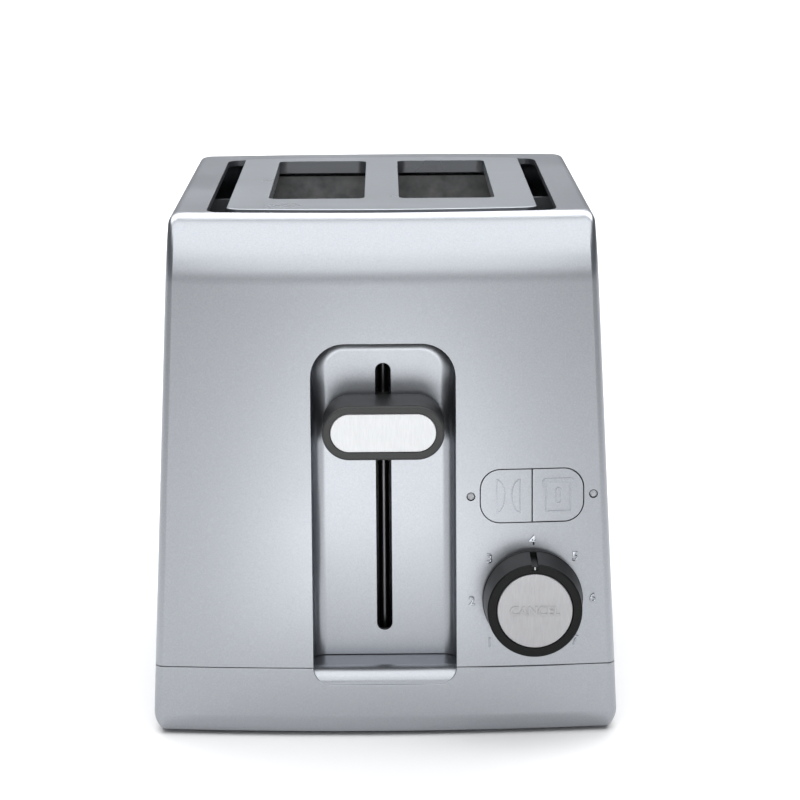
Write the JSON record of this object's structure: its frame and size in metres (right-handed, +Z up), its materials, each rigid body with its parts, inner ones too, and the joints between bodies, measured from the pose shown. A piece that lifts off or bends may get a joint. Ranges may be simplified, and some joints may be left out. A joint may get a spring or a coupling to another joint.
{
  "type": "pop-up toaster",
  "caption": "Two-slot pop-up toaster with a bowed silver body, a front lever in a recess, a browning dial with a centre button, and push buttons.",
  "frame": {"origin": "on the table, under the middle of the toaster's overall box", "axes": "+Z up, front with the lever faces -Y, +X to the viewer's right when facing the front"},
  "size_m": [0.1802, 0.2782, 0.2025],
  "materials": {
    "silver_paint": "fine metallic silver paint, satin",
    "brushed_sheet": "brushed, satin",
    "galvanised_sheet": "plain galvanised sheet",
    "bright_steel": "drawn, bright",
    "dark_grey_plastic": "satin",
    "black_plastic": "semi-gloss",
    "light_satin_metal": "fine satin",
    "mica_board": "layered mica sheet",
    "pale_moulding": "matt heat-proof moulding",
    "copper_winding": "enamelled wire",
    "board_green": "coated circuit board",
    "black_rubber": "matt",
    "light_pipe": "clear moulded"
  },
  "bodies": {
    "housing": {"outer_housing": "silver_paint", "base_shell": "silver_paint", "top_slot_plate": "brushed_sheet", "chamber_front_plate": "galvanised_sheet", "chamber_rear_plate": "galvanised_sheet", "chamber_side_left": "galvanised_sheet", "chamber_side_right": "galvanised_sheet", "heater_card_left_inner": "mica_board", "heater_card_left_outer": "mica_board", "heater_card_right_inner": "mica_board", "heater_card_right_outer": "mica_board", "guide_rod": "bright_steel", "rod_top_bracket": "galvanised_sheet", "magnet_core": "bright_steel", "magnet_coil": "copper_winding", "contact_block": "pale_moulding", "control_board": "board_green", "bagel_switch": "black_plastic", "defrost_switch": "black_plastic", "cancel_switch": "black_plastic", "dial_track": "black_plastic", "relay": "black_plastic", "capacitor": "black_plastic", "terminal_block": "pale_moulding", "cord_gland": "black_plastic", "light_pipe_left": "light_pipe", "light_pipe_right": "light_pipe", "return_spring": "bright_steel", "base_screw_front_left": "bright_steel", "base_screw_front_right": "bright_steel", "base_screw_rear_left": "bright_steel", "base_screw_rear_right": "bright_steel", "rubber_foot_front_left": "black_rubber", "rubber_foot_front_right": "black_rubber", "rubber_foot_rear_left": "black_rubber", "rubber_foot_rear_right": "black_rubber"},
    "carriage": {"slider_block": "black_plastic", "lever_arm": "galvanised_sheet", "carriage_plate": "galvanised_sheet", "bread_rack_left": "galvanised_sheet", "bread_rack_right": "galvanised_sheet", "lever_knob": "dark_grey_plastic", "knob_insert": "light_satin_metal", "latch_armature": "bright_steel"},
    "dial": {"dial_ring": "black_plastic"},
    "cancel": {"cancel_button": "light_satin_metal"},
    "bagel": {"bagel_button": "silver_paint"},
    "defrost": {"defrost_button": "silver_paint"},
    "tray": {"crumb_tray": "galvanised_sheet", "crumb_tray_handle": "silver_paint"},
    "guide_left_outer": {"bread_guide_left_outer": "bright_steel"},
    "guide_left_inner": {"bread_guide_left_inner": "bright_steel"},
    "guide_right_outer": {"bread_guide_right_outer": "bright_steel"},
    "guide_right_inner": {"bread_guide_right_inner": "bright_steel"}
  },
  "joints": [
    {"name": "carriage_slide", "type": "slide", "parent": "housing", "child": "carriage", "axis": [0, 0, 1], "range_m": [-0.077, 0.012], "stiffness_N_per_m": 90, "springref_m": 0.0105, "deforming": ["return_spring"]},
    {"name": "guide_left_outer_tilt", "type": "hinge", "parent": "housing", "child": "guide_left_outer", "pos_m": [-0.0418, 0, 0.036], "axis": [0, 1, 0], "range_deg": [-0.7, 4.45]},
    {"name": "guide_left_inner_tilt", "type": "hinge", "parent": "housing", "child": "guide_left_inner", "pos_m": [-0.0098, 0, 0.036], "axis": [0, -1, 0], "range_deg": [-0.7, 4.45]},
    {"name": "guide_right_outer_tilt", "type": "hinge", "parent": "housing", "child": "guide_right_outer", "pos_m": [0.0418, 0, 0.036], "axis": [0, -1, 0], "range_deg": [-0.7, 4.45]},
    {"name": "guide_right_inner_tilt", "type": "hinge", "parent": "housing", "child": "guide_right_inner", "pos_m": [0.0098, 0, 0.036], "axis": [0, 1, 0], "range_deg": [-0.7, 4.45]},
    {"name": "dial_turn", "type": "hinge", "parent": "housing", "child": "dial", "pos_m": [0.057, 0, 0.0544], "axis": [0, 1, 0], "range_deg": [-135, 135]},
    {"name": "cancel_press", "type": "slide", "parent": "housing", "child": "cancel", "axis": [0, 1, 0], "range_m": [0, 0.0015], "stiffness_N_per_m": 900, "springref_m": -0.0006},
    {"name": "bagel_press", "type": "slide", "parent": "housing", "child": "bagel", "axis": [0, 1, 0], "range_m": [0, 0.0015], "stiffness_N_per_m": 900, "springref_m": -0.0006},
    {"name": "defrost_press", "type": "slide", "parent": "housing", "child": "defrost", "axis": [0, 1, 0], "range_m": [0, 0.0015], "stiffness_N_per_m": 900, "springref_m": -0.0006},
    {"name": "crumb_tray_slide", "type": "slide", "parent": "housing", "child": "tray", "axis": [0, 1, 0], "range_m": [0, 0.2]}
  ],
  "couplings": [
    {"joint": "guide_left_outer_tilt", "follows": "carriage_slide", "rad_per_m": -1},
    {"joint": "guide_left_inner_tilt", "follows": "carriage_slide", "rad_per_m": -1},
    {"joint": "guide_right_outer_tilt", "follows": "carriage_slide", "rad_per_m": -1},
    {"joint": "guide_right_inner_tilt", "follows": "carriage_slide", "rad_per_m": -1}
  ]
}
